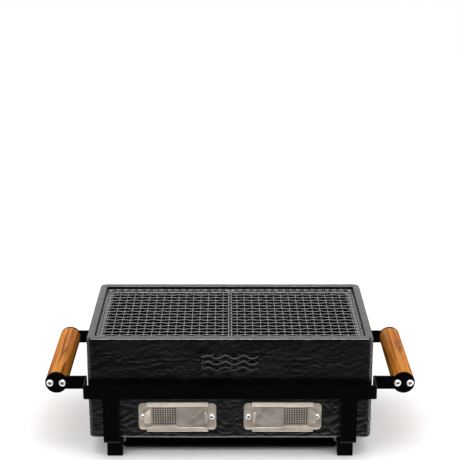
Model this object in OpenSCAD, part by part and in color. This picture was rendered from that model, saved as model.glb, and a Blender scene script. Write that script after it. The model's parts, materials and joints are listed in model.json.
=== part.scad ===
// Tabletop charcoal hibachi. A glazed ceramic firebox sits in a folded steel
// stand with two wooden handles. Under it lies a folded heat shield, in it
// stand two perforated charcoal grates, and on its rim lie two wire nets.
// Millimetres, +Z up, front towards -Y, length along X.
// Origin: centre of the footprint, on the table plane.

/* [Stand] */
// Length of each rail over the outsides of its end bends
rail_length = 442; // [440:1:446]
// Depth of the stand over both rails
stand_depth = 252; // [251:0.5:256]
// Thickness of the folded strip
sheet = 3; // [2.6:0.1:3.2]
// Height of the rail strip
rail_height = 22; // [19:0.5:24]
// Height of the rail centre line above the table
rail_mid_z = 112; // [105:1:118]
// Width of each leg strip
leg_width = 24; // [22:0.5:26]
// Distance from the centre to the middle of a leg
leg_x = 180; // [179:0.5:181]
// Radius of the web between rail and leg
leg_fillet = 7; // [4:0.5:9]
// How far each handle arm is set back from its rail
arm_setback = 35; // [32:0.5:38]
// Distance from the centre to a handle axis
handle_x = 265.5; // [262:0.5:270]
// Outside size of a square foot
foot_size = 24; // [22:0.5:25]
// Height of a foot
foot_height = 26; // [23:0.5:28]
// Thickness of the base shelf
shelf_thickness = 3; // [2:0.5:3]
// Height of the shelf underside above the table
shelf_z = 8; // [6:0.5:9]

/* [Handles] */
// Diameter of the wooden grips
grip_diameter = 34; // [30:0.5:36]
// Distance between the two screws at one end
screw_spacing = 19; // [17:0.5:20]

/* [Firebox] */
// Outside length
box_length = 430; // [424:1:434]
// Outside depth
box_depth = 234; // [231:1:235]
// Outside height
box_height = 165; // [160:1:172]
// Gap between the firebox and the rear rail; the larger gap in front lets the vents pass
rear_gap = 2; // [1:0.5:2.5]
// Radius of the upright corners
box_corner = 9; // [7:0.5:12]
// Radius of the top and bottom edges
box_edge = 4; // [2:0.5:5]
// Width of the rim outside the rebate
rim_width = 11.5; // [10.5:0.5:11.5]
// Depth of the rebate that holds the nets
rebate_depth = 7; // [6:0.5:9]
// Thickness of the floor
floor_thickness = 20; // [18:0.5:20]
// Height of the vent centre above the underside
vent_height = 37.5; // [37:0.5:39]
// Distance from the centre to a vent
vent_x = 80; // [76:1:84]

/* [Grates] */
// Length of one charcoal grate along X
grate_length = 180; // [176:1:181]
// Depth of one charcoal grate along Y
grate_depth = 176; // [172:1:178]
// Diameter of the grate holes
grate_hole = 19.5; // [16:0.5:20.5]
// Height of the stud feet
grate_leg = 31; // [28:0.5:34]

/* [Nets] */
// Length of one net along X
net_length = 201; // [198:0.5:201.5]
// Depth of one net along Y
net_depth = 205; // [200:0.5:207]
// Diameter of the rim wire
net_rim = 3; // [2.6:0.1:3.4]
// Diameter of the mesh wires
net_wire = 1.3; // [1:0.1:1.4]

/* [Hidden] */
$fn = 64;
sides = [-1, 1];
over = 1;         // how far a cutter runs past a surface
join = 1;         // overlap of joined parts
tight_gap = 0.05; // radial clearance of a screw in grip or firebox
loose_gap = 0.3;  // radial clearance of a screw through sheet metal

// stand
half_length = rail_length / 2;
half_depth = stand_depth / 2;
rail_z = rail_mid_z - rail_height / 2;
rail_bend = sheet + 1; // outer bend radii
leg_bend = sheet + 2;
arm_y = half_depth - arm_setback;
arm_height = rail_height - 1;
foot_inner_x = leg_x - foot_size / 2 - 3.5;
foot_inner_y = half_depth - 11 - foot_size;
foot_wall = 2;
ledge_z = foot_height;

// shelf: half sizes of the plate between the feet and of the longer, shallower one
shelf_deep_x = foot_inner_x - 2.5;
shelf_deep_y = foot_inner_y + foot_size - 13;
shelf_long_x = foot_inner_x + foot_size + 1.5;
shelf_long_y = shelf_deep_y - 34;
tab_length = 4.5;
tab_width = 10;

// heat shield: half sizes of its two plates, as for the shelf
shield_z = shelf_z + shelf_thickness;
shield_sheet = 2;
shield_height = 7.5;
shield_corner = 2.5;
shield_long_x = shelf_long_x - 10;
shield_long_y = shelf_long_y + 7.5;
shield_deep_x = shield_long_x - 26;
shield_deep_y = shield_long_y + 13;
shield_lip = 6; // height of the short front and rear walls

// handles
grip_radius = grip_diameter / 2;
grip_length = 2 * (arm_y - sheet);
grip_chamfer = 1;
grip_hole_depth = 26;
grip_screw = 2.5; // shank radius

// firebox
box_z = ledge_z + sheet;
box_y = half_depth - sheet - rear_gap - box_depth / 2;
face_y = box_y - box_depth / 2;
rebate_z = box_z + box_height - rebate_depth;
rebate_corner = 4;
floor_z = box_z + floor_thickness;
cavity_floor_x = box_length / 2 - 29; // half sizes of the tapered cavity
cavity_top_x = box_length / 2 - 22;
cavity_floor_y = box_depth / 2 - 25;
cavity_top_y = box_depth / 2 - 23;

// emblem
wave_radius = 10;
wave_angle = 42; // half the angle of one arc
wave_width = 3.4;
wave_pitch = 9.5;
emblem_height = 128; // above the underside of the firebox

// vents
vent_z = box_z + vent_height;
vent_sheet = 1.2;
vent_screw_x = 52;
vent_screw = 2; // shank radius
vent_screw_length = 12;
screen_length = 88;
screen_height = 38;
screen_recess_gap = 0.6;
channel_length = 93; // sliding channels along the frame's top and bottom
channel_z = 24.3;    // from the vent centre to the outside of a channel
channel_depth = 4.6;
channel_lip = 6.3;
door_x = 0.5;
door_length = 41;
door_height = 45;

// grates
grate_x = grate_length / 2 + 1.5;
grate_z = floor_z + grate_leg;
grate_thickness = 3;
hole_pitch_x = 33.5;
hole_pitch_y = 32.5;

// nets
net_x = net_length / 2 + 0.5;
net_z = rebate_z + net_rim / 2;
net_corner = 9;
net_half_x = (net_length - net_rim) / 2; // to the rim wire's centre line
net_half_y = (net_depth - net_rim) / 2;
wire_inset = 0.9; // from that centre line to the mesh wire ends
wire_count = 16;
wire_pitch = 12;
wire_offset = net_wire / 2 + 0.01; // of each wire layer from the rim's mid plane

black = [0.05, 0.05, 0.05];
glaze = [0.02, 0.02, 0.025];
steel = [0.75, 0.72, 0.68];
wood = [0.72, 0.45, 0.18];

// ---- shared shapes; side is -1 for left and 1 for right ----

module flip_x(side) { mirror([side < 0 ? 1 : 0, 0, 0]) children(); }

module round_rect(width, height, radius) {
    square([width - 2 * radius, height], center = true);
    square([width, height - 2 * radius], center = true);
    for (x = sides, y = sides)
        translate([x * (width / 2 - radius), y * (height / 2 - radius)])
            circle(r = radius);
}

module round_plate(width, depth, radius, thickness) {
    linear_extrude(height = thickness) round_rect(width, depth, radius);
}

// upright plate parallel to the front, centred on X and Z, from y backwards
module upright(width, height, thickness, y) {
    translate([-width / 2, y, -height / 2]) cube([width, thickness, height]);
}

// quarter bend of the strip: axis along Z, quadrant given by the two signs
module bend_z(radius, height, x_sign, y_sign) {
    reach = radius + over;
    intersection() {
        difference() {
            cylinder(r = radius, h = height);
            translate([0, 0, -over]) cylinder(r = radius - sheet, h = height + 2 * over);
        }
        translate([x_sign > 0 ? 0 : -reach, y_sign > 0 ? 0 : -reach, -over])
            cube([reach, reach, height + 2 * over]);
    }
}

// screw along Z: domed head with a hexagon socket on z = 0, shank below
module screw(head_radius, head_height, socket, shank, length) {
    // [radius, height] as fractions of the head
    dome = [[0, 0], [1, 0], [1, 0.3], [0.93, 0.6], [0.76, 0.84], [0.5, 0.96], [0.3, 1], [0, 1]];
    difference() {
        rotate_extrude() polygon([for (p = dome) [p[0] * head_radius, p[1] * head_height]]);
        translate([0, 0, head_height * 0.35]) cylinder(r = socket, h = head_height, $fn = 6);
    }
    translate([0, 0, -length]) cylinder(r = shank, h = length + 0.1);
}

// ---- stand ----

module leg(side) {
    left_x = leg_x - leg_width / 2;
    bend_y = -half_depth + leg_bend;
    bottom_z = ledge_z + leg_bend;
    web_z = rail_z - leg_fillet;
    flip_x(side) {
        translate([left_x, -half_depth, bottom_z])
            cube([leg_width, sheet, rail_z - bottom_z + join]);
        translate([left_x, bend_y, bottom_z])
            rotate([90, 0, 90]) bend_z(leg_bend, leg_width, -1, -1);
        // ledge under the firebox, ending over the foot's inner side
        translate([left_x, bend_y, ledge_z]) cube([leg_width, -bend_y - foot_inner_y, sheet]);
        for (edge = sides) {
            web_x = leg_x + edge * (leg_width / 2 + leg_fillet);
            difference() {
                translate([edge < 0 ? web_x : web_x - leg_fillet, -half_depth, web_z])
                    cube([leg_fillet, sheet, leg_fillet + join]);
                translate([web_x, -half_depth - over, web_z])
                    rotate([-90, 0, 0]) cylinder(r = leg_fillet, h = sheet + 2 * over);
            }
        }
    }
}

// rail end folded back, then outwards into the handle arm
module rail_end(side) {
    start_y = -half_depth + rail_bend;
    arm_bend_x = half_length - sheet + rail_bend;
    arm_bend_y = -arm_y + sheet - rail_bend;
    flip_x(side) {
        translate([half_length - rail_bend, start_y, rail_z])
            bend_z(rail_bend, rail_height, 1, -1);
        translate([half_length - sheet, start_y, rail_z])
            cube([sheet, arm_bend_y - start_y, rail_height]);
        translate([arm_bend_x, arm_bend_y, rail_z]) bend_z(rail_bend, rail_height, -1, 1);
        difference() {
            union() {
                translate([arm_bend_x, -arm_y, rail_mid_z - arm_height / 2])
                    cube([handle_x - arm_bend_x, sheet, arm_height]);
                translate([handle_x, -arm_y, rail_mid_z])
                    rotate([-90, 0, 0]) cylinder(r = grip_radius, h = sheet);
            }
            for (end = sides)
                translate([handle_x + end * screw_spacing / 2, -arm_y - over, rail_mid_z])
                    rotate([-90, 0, 0])
                        cylinder(r = grip_screw + loose_gap, h = sheet + 2 * over);
        }
    }
}

// one rail with its two legs and two handle arms, on the front side
module rail_frame() {
    translate([-half_length + rail_bend, -half_depth, rail_z])
        cube([rail_length - 2 * rail_bend, sheet, rail_height]);
    for (side = sides) {
        leg(side);
        rail_end(side);
    }
}

module rail_frame_front() { color(black) rail_frame(); }
module rail_frame_rear() { color(black) mirror([0, 1, 0]) rail_frame(); }

module base_shelf() {
    tab_x = foot_inner_x - tab_length / 2;
    tab_y = shelf_deep_y - 9;
    color(black) translate([0, 0, shelf_z]) {
        round_plate(shelf_deep_x * 2, shelf_deep_y * 2, 4, shelf_thickness);
        round_plate(shelf_long_x * 2, shelf_long_y * 2, 3, shelf_thickness);
        // short weld tabs that reach the feet
        for (x = sides, y = sides)
            translate([x * tab_x - tab_length / 2, y * tab_y - tab_width / 2, 0])
                cube([tab_length, tab_width, shelf_thickness]);
    }
}

// folded square foot, open underneath; y_side is -1 for front and 1 for rear
module foot(side, y_side) {
    hollow = foot_size - 2 * foot_wall;
    color(black) flip_x(side) mirror([0, y_side < 0 ? 1 : 0, 0])
        translate([foot_inner_x, foot_inner_y, 0]) difference() {
            cube([foot_size, foot_size, foot_height]);
            translate([foot_wall, foot_wall, -over])
                cube([hollow, hollow, foot_height - foot_wall + over]);
        }
}

module foot_front_left() { foot(-1, -1); }
module foot_front_right() { foot(1, -1); }
module foot_rear_left() { foot(-1, 1); }
module foot_rear_right() { foot(1, 1); }

// ---- handles ----

module handle(side) {
    rim = grip_radius - grip_chamfer;
    color(wood) translate([side * handle_x, 0, rail_mid_z])
        rotate([90, 0, 0]) translate([0, 0, -grip_length / 2]) difference() {
            rotate_extrude() polygon([[0, 0], [rim, 0], [grip_radius, grip_chamfer],
                [grip_radius, grip_length - grip_chamfer], [rim, grip_length], [0, grip_length]]);
            for (x = sides, z = [-over, grip_length - grip_hole_depth])
                translate([x * screw_spacing / 2, 0, z])
                    cylinder(r = grip_screw + tight_gap, h = grip_hole_depth + over);
        }
}

module handle_left() { handle(-1); }
module handle_right() { handle(1); }

module handle_screws(side) {
    color(steel) for (y = sides, x = sides)
        translate([side * handle_x + x * screw_spacing / 2, y * arm_y, rail_mid_z])
            rotate([y < 0 ? 90 : -90, 0, 0])
                screw(head_radius = 5.8, head_height = 3, socket = 2.3,
                    shank = grip_screw, length = 25);
}

module handle_screws_left() { handle_screws(-1); }
module handle_screws_right() { handle_screws(1); }

// ---- heat shield ----

// wall along X, centred on x, its outer face at half depth y on the given side
module shield_wall(x, y, y_side, z, length, height) {
    translate([x - length / 2, y_side * (y - shield_sheet / 2) - shield_sheet / 2, z])
        cube([length, shield_sheet, height]);
}

module heat_shield() {
    top = shield_z + shield_height;
    step = shield_long_x - shield_deep_x;
    color(black) {
        translate([0, 0, top - shield_sheet]) {
            round_plate(shield_long_x * 2, shield_long_y * 2, shield_corner, shield_sheet);
            round_plate(shield_deep_x * 2, shield_deep_y * 2, shield_corner, shield_sheet);
        }
        for (y = sides) {
            shield_wall(0, shield_deep_y, y, shield_z,
                2 * (shield_deep_x - shield_corner), shield_height);
            for (x = sides)
                shield_wall(x * (shield_long_x + shield_deep_x) / 2, shield_long_y, y,
                    top - shield_lip, step - 2 * shield_corner, shield_lip);
        }
        for (x = sides)
            translate([x * (shield_long_x - shield_sheet / 2) - shield_sheet / 2,
                -shield_long_y + shield_corner, shield_z])
                cube([shield_sheet, 2 * (shield_long_y - shield_corner), shield_height]);
    }
}

// ---- firebox ----

// block with rounded upright corners and rounded top and bottom edges
module box_outside() {
    corner_x = box_length / 2 - box_corner;
    corner_y = box_depth / 2 - box_corner;
    core = box_corner - box_edge;
    half_height = box_height / 2;
    translate([0, box_y, box_z + half_height]) {
        translate([-corner_x, 0, 0]) rotate([90, 0, 90])
            linear_extrude(height = 2 * corner_x) round_rect(box_depth, box_height, box_edge);
        translate([0, corner_y, 0]) rotate([90, 0, 0])
            linear_extrude(height = 2 * corner_y) round_rect(box_length, box_height, box_edge);
        for (x = sides, y = sides) translate([x * corner_x, y * corner_y, 0]) rotate_extrude() {
            translate([0, -half_height]) square([core, box_height]);
            translate([0, -half_height + box_edge]) square([box_corner, box_height - 2 * box_edge]);
            for (z = sides) translate([core, z * (half_height - box_edge)]) intersection() {
                circle(r = box_edge);
                translate([0, z > 0 ? 0 : -box_edge]) square([box_edge, box_edge]);
            }
        }
    }
}

function trapezoid(bottom, top, height) =
    [[-bottom, 0], [bottom, 0], [top, height], [-top, height]];

// two crossed tapered prisms, reaching a little into the rebate
module box_cavity() {
    height = rebate_z + 0.5 - floor_z;
    translate([0, box_y, floor_z]) intersection() {
        translate([0, 150, 0]) rotate([90, 0, 0]) linear_extrude(height = 300)
            polygon(trapezoid(cavity_floor_x, cavity_top_x, height));
        translate([-250, 0, 0]) rotate([90, 0, 90]) linear_extrude(height = 500)
            polygon(trapezoid(cavity_floor_y, cavity_top_y, height));
    }
}

// one arc of a raised wavy line, chord on y = 0
module wave_arc() {
    half_chord = wave_radius * sin(wave_angle);
    intersection() {
        translate([0, -wave_radius * cos(wave_angle)]) difference() {
            circle(r = wave_radius + wave_width / 2);
            circle(r = wave_radius - wave_width / 2);
        }
        translate([-half_chord, -wave_width]) square([2 * half_chord, 2 * wave_radius]);
    }
}

// three raised wavy lines, a plain decoration
module emblem() {
    chord = 2 * wave_radius * sin(wave_angle);
    translate([0, face_y + 0.6, box_z + emblem_height]) rotate([90, 0, 0])
        linear_extrude(height = 2.4) for (row = [-1 : 1], k = [0 : 5])
            translate([(k - 2.5) * chord, row * wave_pitch]) mirror([0, k % 2]) wave_arc();
}

// vent frame of reference, drawn for the left side: +X is towards the middle of the firebox
module vent_at(side) { translate([side * vent_x, face_y, vent_z]) flip_x(-side) children(); }

module vent_screw_holes(radius, depth, y) {
    for (x = sides) translate([x * vent_screw_x, y, 0])
        rotate([-90, 0, 0]) cylinder(r = radius, h = depth);
}

module firebox() {
    color(glaze) {
        difference() {
            box_outside();
            box_cavity();
            translate([0, box_y, rebate_z])
                round_plate(box_length - 2 * rim_width, box_depth - 2 * rim_width,
                    rebate_corner, rebate_depth + over);
            for (side = sides) vent_at(side) {
                upright(78, 32, 28, -over);
                upright(screen_length + screen_recess_gap, screen_height + screen_recess_gap,
                    2.1, -over);
                vent_screw_holes(vent_screw + tight_gap, vent_screw_length + over, -over);
            }
        }
        emblem();
    }
}

// ---- vents ----

// tab standing out from the front, leaning in X, its two outer corners rounded
module pull_tab(length, lean) {
    width = 22;
    corner = 4;
    rotate([90, 0, 0]) rotate([0, lean, 0]) translate([0, -width / 2, 0])
        rotate([90, 0, 90]) linear_extrude(height = vent_sheet) {
            square([width, length - corner]);
            translate([corner, 0]) square([width - 2 * corner, length]);
            for (x = [corner, width - corner]) translate([x, length - corner]) circle(r = corner);
        }
}

module vent_frame(side) {
    color(steel) vent_at(side) {
        difference() {
            rotate([90, 0, 0]) union() {
                round_plate(118, 44, 6, vent_sheet);
                translate([-channel_length / 2, -channel_z, 0])
                    cube([channel_length, 2 * channel_z, vent_sheet]);
            }
            upright(80, 34, 3, -2);
            vent_screw_holes(vent_screw + loose_gap, 3, -2);
        }
        // each channel is a shelf and a lip turned towards the vent centre
        for (z = sides) {
            translate([0, 0, z * (channel_z - vent_sheet / 2)])
                upright(channel_length, vent_sheet, channel_depth, -channel_depth);
            translate([0, 0, z * (channel_z - channel_lip / 2)])
                upright(channel_length, channel_lip, vent_sheet, -channel_depth);
        }
        translate([-41.2, -0.95, 0]) mirror([1, 0, 0]) pull_tab(length = 11, lean = 48);
    }
}

module vent_frame_left() { vent_frame(-1); }
module vent_frame_right() { vent_frame(1); }

// plate with a grid of square holes in its outer half
module vent_screen(side) {
    hole = 2;
    grid_x = -20;
    color(steel) vent_at(side) difference() {
        upright(screen_length, screen_height, 1, 0);
        for (column = [0 : 9], row = [0 : 8])
            translate([grid_x + (column - 4.5) * 3.7, 0, (row - 4) * 3.2])
                upright(hole, hole, 3, -over);
    }
}

module vent_screen_left() { vent_screen(-1); }
module vent_screen_right() { vent_screen(1); }

module vent_door(side) {
    color(steel) vent_at(side) {
        translate([door_x, -3, -door_height / 2]) cube([door_length, vent_sheet, door_height]);
        translate([door_x + door_length - vent_sheet, -2.6, 0]) pull_tab(length = 8, lean = 30);
    }
}

module vent_door_left() { vent_door(-1); }
module vent_door_right() { vent_door(1); }

module vent_screws(side) {
    color(steel) vent_at(side) for (x = sides)
        translate([x * vent_screw_x, -vent_sheet, 0]) rotate([90, 0, 0])
            screw(head_radius = 4.2, head_height = 2.6, socket = 1.6,
                shank = vent_screw, length = vent_screw_length);
}

module vent_screws_left() { vent_screws(-1); }
module vent_screws_right() { vent_screws(1); }

// ---- charcoal grates ----

// rows of five and four holes in turn
module charcoal_grate(side) {
    color(black) translate([side * grate_x, box_y, grate_z]) difference() {
        round_plate(grate_length, grate_depth, 4, grate_thickness);
        for (row = [-2 : 2]) {
            count = (row % 2 == 0) ? 5 : 4;
            for (k = [0 : count - 1])
                translate([(k - (count - 1) / 2) * hole_pitch_x, row * hole_pitch_y, -over])
                    cylinder(r = grate_hole / 2, h = grate_thickness + 2 * over);
        }
    }
}

module charcoal_grate_left() { charcoal_grate(-1); }
module charcoal_grate_right() { charcoal_grate(1); }

// three studs on discs, two in front and one behind, midway between hole rows
module grate_feet(side) {
    color(black) for (p = [[-1.5, -1.5], [1.5, -1.5], [0, 1.5]])
        translate([side * grate_x + p[0] * hole_pitch_x, box_y + p[1] * hole_pitch_y, floor_z]) {
            cylinder(r = 8, h = 2.5);
            translate([0, 0, 2]) cylinder(r = 3.25, h = grate_leg - 2);
        }
}

module grate_feet_left() { grate_feet(-1); }
module grate_feet_right() { grate_feet(1); }

// ---- nets ----

module net_frame(side) {
    radius = net_rim / 2;
    bend_x = net_half_x - net_corner;
    bend_y = net_half_y - net_corner;
    corners = [[1, 1], [-1, 1], [-1, -1], [1, -1]]; // signs, a quarter turn apart
    color(steel) translate([side * net_x, box_y, net_z]) {
        for (y = sides) translate([-bend_x, y * net_half_y, 0])
            rotate([0, 90, 0]) cylinder(r = radius, h = 2 * bend_x);
        for (x = sides) translate([x * net_half_x, bend_y, 0])
            rotate([90, 0, 0]) cylinder(r = radius, h = 2 * bend_y);
        for (k = [0 : 3])
            translate([corners[k][0] * bend_x, corners[k][1] * bend_y, 0]) rotate([0, 0, k * 90])
                rotate_extrude(angle = 90) translate([net_corner, 0]) circle(r = radius);
    }
}

module net_rim_left() { net_frame(-1); }
module net_rim_right() { net_frame(1); }

function wire_place(k) = (k - (wire_count - 1) / 2) * wire_pitch;

// upper layer, along Y
module net_long_wires(side) {
    end = net_half_y - wire_inset;
    color(steel) translate([side * net_x, box_y, net_z + wire_offset])
        for (k = [0 : wire_count - 1]) translate([wire_place(k), end, 0])
            rotate([90, 0, 0]) cylinder(r = net_wire / 2, h = 2 * end);
}

module net_long_wires_left() { net_long_wires(-1); }
module net_long_wires_right() { net_long_wires(1); }

// lower layer, along X
module net_cross_wires(side) {
    end = net_half_x - wire_inset;
    color(steel) translate([side * net_x, box_y, net_z - wire_offset])
        for (k = [0 : wire_count - 1]) translate([-end, wire_place(k), 0])
            rotate([0, 90, 0]) cylinder(r = net_wire / 2, h = 2 * end);
}

module net_cross_wires_left() { net_cross_wires(-1); }
module net_cross_wires_right() { net_cross_wires(1); }

rail_frame_front();
rail_frame_rear();
base_shelf();
foot_front_left();
foot_front_right();
foot_rear_left();
foot_rear_right();
handle_left();
handle_right();
handle_screws_left();
handle_screws_right();
heat_shield();
firebox();
vent_frame_left();
vent_frame_right();
vent_screen_left();
vent_screen_right();
vent_screws_left();
vent_screws_right();
vent_door_left();
vent_door_right();
charcoal_grate_left();
charcoal_grate_right();
grate_feet_left();
grate_feet_right();
net_rim_left();
net_rim_right();
net_long_wires_left();
net_long_wires_right();
net_cross_wires_left();
net_cross_wires_right();
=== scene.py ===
import json
import math
import random

import bmesh
import bpy
from mathutils import Matrix, Vector, noise

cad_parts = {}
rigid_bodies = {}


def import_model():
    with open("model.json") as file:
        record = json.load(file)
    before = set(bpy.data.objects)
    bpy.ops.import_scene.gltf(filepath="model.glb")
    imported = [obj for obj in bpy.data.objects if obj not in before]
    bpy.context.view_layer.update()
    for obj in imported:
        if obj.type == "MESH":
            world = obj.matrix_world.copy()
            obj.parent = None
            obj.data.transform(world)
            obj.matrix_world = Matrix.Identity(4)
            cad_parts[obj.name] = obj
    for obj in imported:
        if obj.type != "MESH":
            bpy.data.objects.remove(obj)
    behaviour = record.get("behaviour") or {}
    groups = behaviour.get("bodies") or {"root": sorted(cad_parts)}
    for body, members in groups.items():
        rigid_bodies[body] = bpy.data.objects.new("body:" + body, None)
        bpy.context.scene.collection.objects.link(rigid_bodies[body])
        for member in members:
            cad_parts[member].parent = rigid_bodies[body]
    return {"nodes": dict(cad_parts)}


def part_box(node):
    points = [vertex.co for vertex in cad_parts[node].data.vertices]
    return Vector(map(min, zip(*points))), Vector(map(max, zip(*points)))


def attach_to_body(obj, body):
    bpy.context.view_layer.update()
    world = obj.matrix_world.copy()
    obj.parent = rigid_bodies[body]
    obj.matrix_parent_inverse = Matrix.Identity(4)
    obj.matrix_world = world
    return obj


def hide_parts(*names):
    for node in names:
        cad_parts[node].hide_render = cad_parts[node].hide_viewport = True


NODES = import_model()["nodes"]
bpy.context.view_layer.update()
scene = bpy.context.scene
random.seed(7)

SIDES = (("left", -1), ("right", 1))

# Firebox
BOX_LOW, BOX_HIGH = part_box("firebox")
HALF_X = (BOX_HIGH.x - BOX_LOW.x) / 2
HALF_Y = 0.117
CENTRE_Y = BOX_HIGH.y - HALF_Y
FRONT_Y = CENTRE_Y - HALF_Y
BOTTOM, TOP = BOX_LOW.z, BOX_HIGH.z
FLOOR = BOTTOM + 0.020       # inner floor
RIM_WIDTH = 0.0115
LEDGE = TOP - 0.007          # step inside the rim that carries the nets

# Vents: centre of each one and the opening behind it, mirrored in X
VENT_X, VENT_Z = 0.080, BOTTOM + 0.0375
OPENING_X = (VENT_X - 0.039, VENT_X + 0.039)
OPENING_Z = (VENT_Z - 0.016, VENT_Z + 0.016)
VENT_SCREW_X = 0.052         # from the vent centre

# Raised emblem on the front wall: three wavy lines built from arcs
EMBLEM_Z = BOTTOM + 0.128
WAVE_RADIUS = 0.010
WAVE_ANGLE = math.radians(42)    # half the angle of one arc
WAVE_ARCS = 6
WAVE_WIDTH = 0.0017
WAVE_PITCH = 0.0095              # between the lines
WAVE_HEIGHT = 0.0009


# ---------------------------------------------------------------- numbers and outlines

def smoothstep(start, end, x):
    t = max(0.0, min(1.0, (x - start) / (end - start)))
    return t * t * (3 - 2 * t)


def spaced(start, end, pitch):
    """Even stations from start to end, close to pitch apart."""
    n = max(1, round((end - start) / pitch))
    return [start + (end - start) * i / n for i in range(n + 1)]


def quarter(steps, first=0):
    """Angles from 0 to a right angle, from step number first on."""
    return [math.pi / 2 * i / steps for i in range(first, steps + 1)]


def arc(x, y, radius, start, sweep, steps):
    angles = [start + sweep * i / steps for i in range(steps + 1)]
    return [(x + radius * math.cos(a), y + radius * math.sin(a)) for a in angles]


def circle(x, y, radius, count):
    return arc(x, y, radius, 0, 2 * math.pi, count)[:-1]


def rounded_rectangle(x, y, half_x, half_y, radius):
    points = []
    for k, (sx, sy) in enumerate(((1, 1), (-1, 1), (-1, -1), (1, -1))):
        points += arc(x + sx * (half_x - radius), y + sy * (half_y - radius), radius,
                      k * math.pi / 2, math.pi / 2, 8)
    return points


def rounded(corners, steps=6):
    """Closed outline from corners (x, y, radius); radius 0 keeps a corner sharp."""
    points = []
    for i, corner in enumerate(corners):
        radius = corner[2]
        p = Vector(corner[:2])
        if radius <= 0:
            points.append((p.x, p.y))
            continue
        before = (Vector(corners[i - 1][:2]) - p).normalized()
        after = (Vector(corners[(i + 1) % len(corners)][:2]) - p).normalized()
        half = math.acos(max(-1, min(1, before.dot(after)))) / 2
        centre = p + (before + after).normalized() * (radius / math.sin(half))
        reach = radius / math.tan(half)
        start = p + before * reach - centre
        end = p + after * reach - centre
        start_angle = math.atan2(start.y, start.x)
        sweep = math.atan2(end.y, end.x) - start_angle
        sweep = (sweep + math.pi) % (2 * math.pi) - math.pi
        points += arc(centre.x, centre.y, radius, start_angle, sweep, steps)
    return points


# ---------------------------------------------------------------- mesh helpers

def link(name, mesh):
    ob = bpy.data.objects.new(name, mesh)
    scene.collection.objects.link(ob)
    return ob


def shade_smooth(mesh):
    mesh.polygons.foreach_set("use_smooth", [True] * len(mesh.polygons))


def mesh_from(name, verts, faces):
    mesh = bpy.data.meshes.new(name)
    mesh.from_pydata([tuple(v) for v in verts], [], [tuple(f) for f in faces])
    mesh.validate()
    mesh.update()
    shade_smooth(mesh)
    return link(name, mesh)


def from_bm(name, bm):
    mesh = bpy.data.meshes.new(name)
    bmesh.ops.recalc_face_normals(bm, faces=bm.faces)
    bm.to_mesh(mesh)
    bm.free()
    return link(name, mesh)


def clean(ob, merge=None):
    """Merge vertices closer than merge, if given, and turn the faces outward."""
    bm = bmesh.new()
    bm.from_mesh(ob.data)
    if merge:
        bmesh.ops.remove_doubles(bm, verts=bm.verts, dist=merge)
    bmesh.ops.recalc_face_normals(bm, faces=bm.faces)
    bm.to_mesh(ob.data)
    bm.free()


def sharpen(ob, degrees):
    """Smooth shading that keeps edges sharper than degrees."""
    shade_smooth(ob.data)
    bm = bmesh.new()
    bm.from_mesh(ob.data)
    limit = math.radians(degrees)
    for edge in bm.edges:
        edge.smooth = len(edge.link_faces) == 2 and edge.calc_face_angle(0.0) < limit
    bm.to_mesh(ob.data)
    bm.free()


def paint(ob, material):
    ob.data.materials.clear()
    ob.data.materials.append(material)


def attach(ob, body, node=None):
    """Tell the frame what the piece moves with and which node it replaces."""
    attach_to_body(ob, body)
    if node:
        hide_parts(node)


def bridge(a, b):
    """Quads between two closed rings of the same length."""
    return list(zip(a, a[1:] + a[:1], b[1:] + b[:1], b))


def lathe(profile, segments):
    """Vertices and faces turned round +Z from (radius, height); radius 0 closes an end."""
    verts, faces, rings = [], [], []
    for radius, height in profile:
        if radius < 1e-9:
            rings.append([len(verts)])
            verts.append((0, 0, height))
        else:
            rings.append(list(range(len(verts), len(verts) + segments)))
            verts += [(x, y, height) for x, y in circle(0, 0, radius, segments)]
    for a, b in zip(rings, rings[1:]):
        if len(a) == 1:
            faces += [(a[0], b[(k + 1) % segments], b[k]) for k in range(segments)]
        elif len(b) == 1:
            faces += [(a[k], a[(k + 1) % segments], b[0]) for k in range(segments)]
        else:
            faces += bridge(a, b)
    return verts, faces


def sheet(outline, holes, thickness, bevel, resolution=1):
    """Mesh of a flat plate centred on z = 0, with holes and rounded edges."""
    curve = bpy.data.curves.new("sheet_outline", "CURVE")
    curve.dimensions = "2D"
    curve.fill_mode = "BOTH"
    for points in [outline] + list(holes):
        spline = curve.splines.new("POLY")
        spline.points.add(len(points) - 1)
        for target, (x, y) in zip(spline.points, points):
            target.co = (x, y, 0, 1)
        spline.use_cyclic_u = True
    curve.extrude = thickness / 2 - bevel
    curve.bevel_depth = bevel
    curve.bevel_resolution = resolution
    curve.offset = -bevel
    ob = link("sheet_tmp", curve)
    bpy.context.view_layer.update()
    depsgraph = bpy.context.evaluated_depsgraph_get()
    mesh = bpy.data.meshes.new_from_object(ob.evaluated_get(depsgraph))
    bpy.data.objects.remove(ob)
    bpy.data.curves.remove(curve)
    return mesh


def add_mesh(bm, mesh, where):
    mesh.transform(where)
    bm.from_mesh(mesh)
    bpy.data.meshes.remove(mesh)


# ---------------------------------------------------------------- shader helpers

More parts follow.
